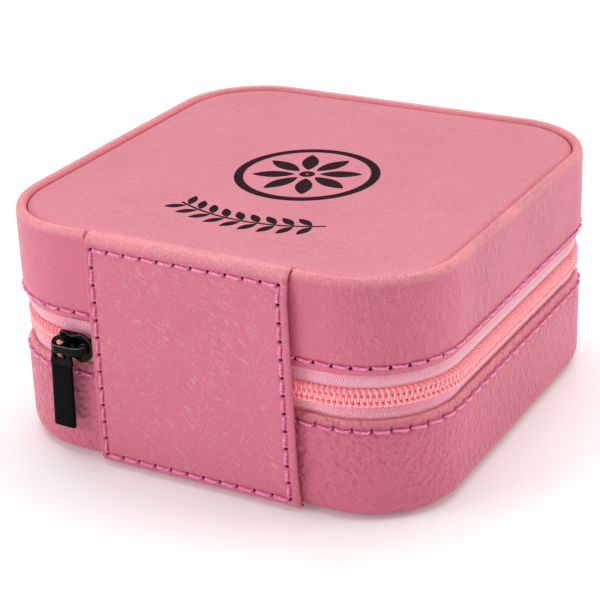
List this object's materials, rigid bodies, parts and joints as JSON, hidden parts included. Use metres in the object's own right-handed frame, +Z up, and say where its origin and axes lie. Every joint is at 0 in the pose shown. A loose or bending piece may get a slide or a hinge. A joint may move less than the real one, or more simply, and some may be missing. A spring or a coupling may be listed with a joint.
{
  "type": "travel jewelry case",
  "caption": "Square zip-round travel jewelry case with rounded corners, padded lid on a sewn rear hinge, ring rolls, lift-out dividers, necklace straps and a lid pocket.",
  "frame": {"origin": "centre of the flat bottom face that the case stands on", "axes": "+Z up, -Y towards the opening side (front), +Y towards the sewn hinge panel (back), X across the width"},
  "size_m": [0.1, 0.1041, 0.0517],
  "materials": {
    "leatherette": "satin",
    "greyboard": "matte",
    "foam": "matte",
    "velvet": "matte",
    "pocket_satin": "satin",
    "zip_tape": "matte",
    "zip_coil": "gloss",
    "black_metal": "gloss",
    "nickel": "polished"
  },
  "bodies": {
    "base": {"base_side_cover": "leatherette", "base_bottom_panel": "leatherette", "base_board": "greyboard", "base_floor_lining": "velvet", "base_wall_lining": "velvet", "ring_roll_1": "velvet", "ring_roll_2": "velvet", "ring_roll_3": "velvet", "ring_roll_4": "velvet", "ring_roll_5": "velvet", "ring_roll_6": "velvet", "long_divider": "velvet", "zip_tape_lower": "zip_tape", "zip_coil_lower": "zip_coil", "hinge_panel_lower": "leatherette", "hinge_panel_fold": "leatherette", "hinge_lining": "velvet"},
    "lid": {"lid_side_cover": "leatherette", "lid_board": "greyboard", "lid_top_pad": "foam", "lid_top_panel": "leatherette", "lid_wall_lining": "velvet", "lid_ceiling_lining": "velvet", "strap_sewn_end_1": "leatherette", "strap_sewn_end_2": "leatherette", "strap_sewn_end_3": "leatherette", "snap_stud_1": "nickel", "snap_stud_2": "nickel", "snap_stud_3": "nickel", "lid_pocket": "pocket_satin", "pocket_elastic_band": "pocket_satin", "zip_tape_upper": "zip_tape", "zip_coil_upper": "zip_coil", "zip_tape_end_right": "zip_tape", "zip_tape_end_left": "zip_tape", "hinge_panel_upper": "leatherette"},
    "slider": {"zip_slider": "black_metal"},
    "pull": {"pull_tab": "black_metal"},
    "strap_1": {"necklace_strap_1": "leatherette", "snap_cap_1": "nickel"},
    "strap_2": {"necklace_strap_2": "leatherette", "snap_cap_2": "nickel"},
    "strap_3": {"necklace_strap_3": "leatherette", "snap_cap_3": "nickel"},
    "divider_front": {"front_divider": "velvet"},
    "divider_rear": {"rear_divider": "velvet"}
  },
  "joints": [
    {"name": "lid_hinge", "type": "hinge", "parent": "base", "child": "lid", "pos_m": [0, 0.05125, 0.0264], "axis": [-1, 0, 0], "range_deg": [0, 105], "deforming": ["hinge_panel_fold", "hinge_lining", "zip_tape_end_right", "zip_tape_end_left"]},
    {"name": "zip_travel", "type": "hinge", "parent": "base", "child": "slider", "pos_m": [0.028, 0.028, 0.0264], "axis": [0, 0, -1], "range_deg": [0, 90]},
    {"name": "pull_swing", "type": "hinge", "parent": "slider", "child": "pull", "pos_m": [0.0293, 0.0521, 0.0264], "axis": [0, -1, 0], "range_deg": [-30, 120]},
    {"name": "strap_open_1", "type": "hinge", "parent": "lid", "child": "strap_1", "pos_m": [-0.025, -0.0368, 0.0441], "axis": [-1, 0, 0], "range_deg": [0, 100]},
    {"name": "strap_open_2", "type": "hinge", "parent": "lid", "child": "strap_2", "pos_m": [0, -0.0368, 0.0441], "axis": [-1, 0, 0], "range_deg": [0, 100]},
    {"name": "strap_open_3", "type": "hinge", "parent": "lid", "child": "strap_3", "pos_m": [0.025, -0.0368, 0.0441], "axis": [-1, 0, 0], "range_deg": [0, 100]},
    {"name": "divider_lift_front", "type": "slide", "parent": "base", "child": "divider_front", "axis": [0, 0, 1], "range_m": [0, 0.0175]},
    {"name": "divider_lift_rear", "type": "slide", "parent": "base", "child": "divider_rear", "axis": [0, 0, 1], "range_m": [0, 0.0175]}
  ]
}
